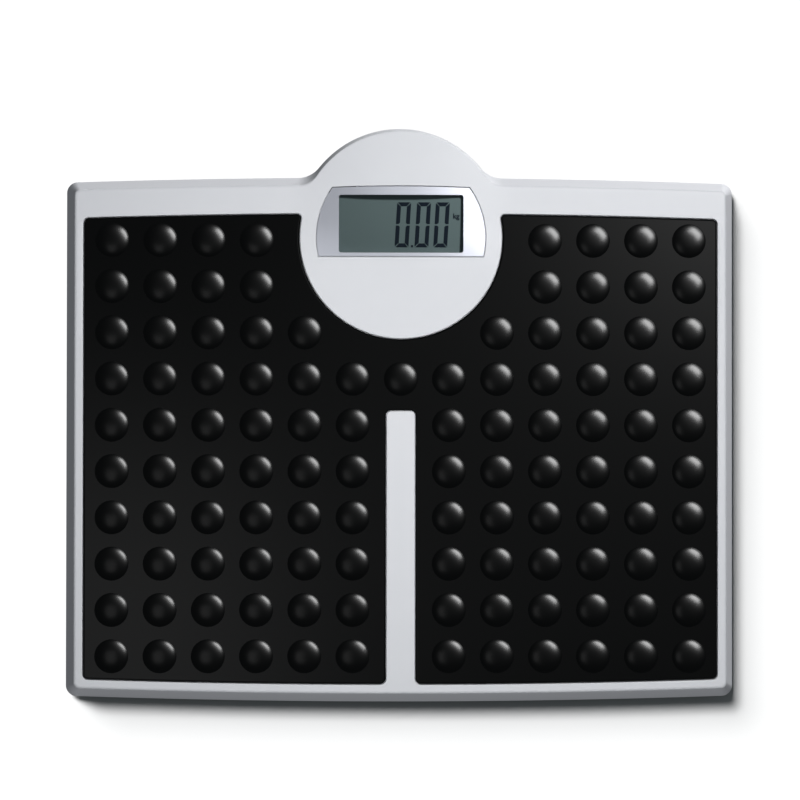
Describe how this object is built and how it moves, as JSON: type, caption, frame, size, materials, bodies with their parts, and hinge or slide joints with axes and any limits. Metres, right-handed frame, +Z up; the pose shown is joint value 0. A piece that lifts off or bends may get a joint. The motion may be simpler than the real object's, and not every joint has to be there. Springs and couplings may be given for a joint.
{
  "type": "bathroom scale",
  "caption": "Wide digital bathroom scale: a white platform with a studded black rubber mat, a round tilted display head at the back, and feet on load cells.",
  "frame": {"origin": "on the floor under the middle of the bounding box", "axes": "+Z up, +Y towards the display head at the back, +X to the user's right"},
  "size_m": [0.433, 0.3726, 0.047],
  "materials": {
    "white_moulded_plastic": "satin white moulded plastic",
    "grey_moulded_plastic": "fine-textured grey moulded plastic",
    "dark_moulded_plastic": "dark moulded plastic",
    "black_rubber": "matt black rubber",
    "silver_film": "silver printed film under a clear coat",
    "clear_pane": "clear polished plastic pane",
    "display_glass": "grey-green liquid crystal display",
    "green_laminate": "solder-masked circuit board",
    "black_resin": "moulded resin",
    "zinc_steel": "zinc-plated steel",
    "amber_film": "amber flexible film",
    "cell_jacket": "plain printed steel jacket",
    "grey_cable": "grey cable sheath"
  },
  "bodies": {
    "platform": {"top_housing": "white_moulded_plastic", "cell_connector": "white_moulded_plastic", "base_tray": "grey_moulded_plastic", "rubber_mat": "black_rubber", "foot_pad_front_left": "black_rubber", "foot_pad_front_right": "black_rubber", "foot_pad_rear_left": "black_rubber", "foot_pad_rear_right": "black_rubber", "display_bezel": "silver_film", "display_window": "clear_pane", "lcd_panel": "display_glass", "lcd_frame": "dark_moulded_plastic", "foot_cup_front_left": "dark_moulded_plastic", "foot_cup_front_right": "dark_moulded_plastic", "foot_cup_rear_left": "dark_moulded_plastic", "foot_cup_rear_right": "dark_moulded_plastic", "lcd_ribbon": "amber_film", "circuit_board": "green_laminate", "microcontroller": "black_resin", "unit_switch": "black_resin", "pairing_switch": "black_resin", "battery_lead_positive": "black_resin", "battery_lead_negative": "black_resin", "radio_module": "zinc_steel", "stiffener_plate": "zinc_steel", "load_cell_front_left": "zinc_steel", "load_cell_front_right": "zinc_steel", "load_cell_rear_left": "zinc_steel", "load_cell_rear_right": "zinc_steel", "cell_contact_1": "zinc_steel", "cell_contact_2": "zinc_steel", "cell_contact_3": "zinc_steel", "cell_contact_4": "zinc_steel", "cell_contact_5": "zinc_steel", "housing_screw_1": "zinc_steel", "housing_screw_2": "zinc_steel", "housing_screw_3": "zinc_steel", "housing_screw_4": "zinc_steel", "housing_screw_5": "zinc_steel", "housing_screw_6": "zinc_steel", "housing_screw_7": "zinc_steel", "housing_screw_8": "zinc_steel", "board_screw_1": "zinc_steel", "board_screw_2": "zinc_steel", "board_screw_3": "zinc_steel", "board_screw_4": "zinc_steel", "battery_1": "cell_jacket", "battery_2": "cell_jacket", "battery_3": "cell_jacket", "battery_4": "cell_jacket", "load_cell_cable_front_left": "grey_cable", "load_cell_cable_front_right": "grey_cable", "load_cell_cable_rear_left": "grey_cable", "load_cell_cable_rear_right": "grey_cable"},
    "door": {"battery_door": "grey_moulded_plastic"},
    "unit_key": {"unit_button": "dark_moulded_plastic", "unit_plunger": "dark_moulded_plastic"},
    "pairing_key": {"pairing_button": "dark_moulded_plastic", "pairing_plunger": "dark_moulded_plastic"}
  },
  "joints": [
    {"name": "battery_door_hinge", "type": "hinge", "parent": "platform", "child": "door", "pos_m": [0, -0.00695, 0.0093], "axis": [1, 0, 0], "range_deg": [0, 75]},
    {"name": "unit_key_press", "type": "slide", "parent": "platform", "child": "unit_key", "axis": [0, 0, 1], "range_m": [0, 0.0008], "stiffness_N_per_m": 2500},
    {"name": "pairing_key_press", "type": "slide", "parent": "platform", "child": "pairing_key", "axis": [0, 0, 1], "range_m": [0, 0.0008], "stiffness_N_per_m": 2500}
  ]
}
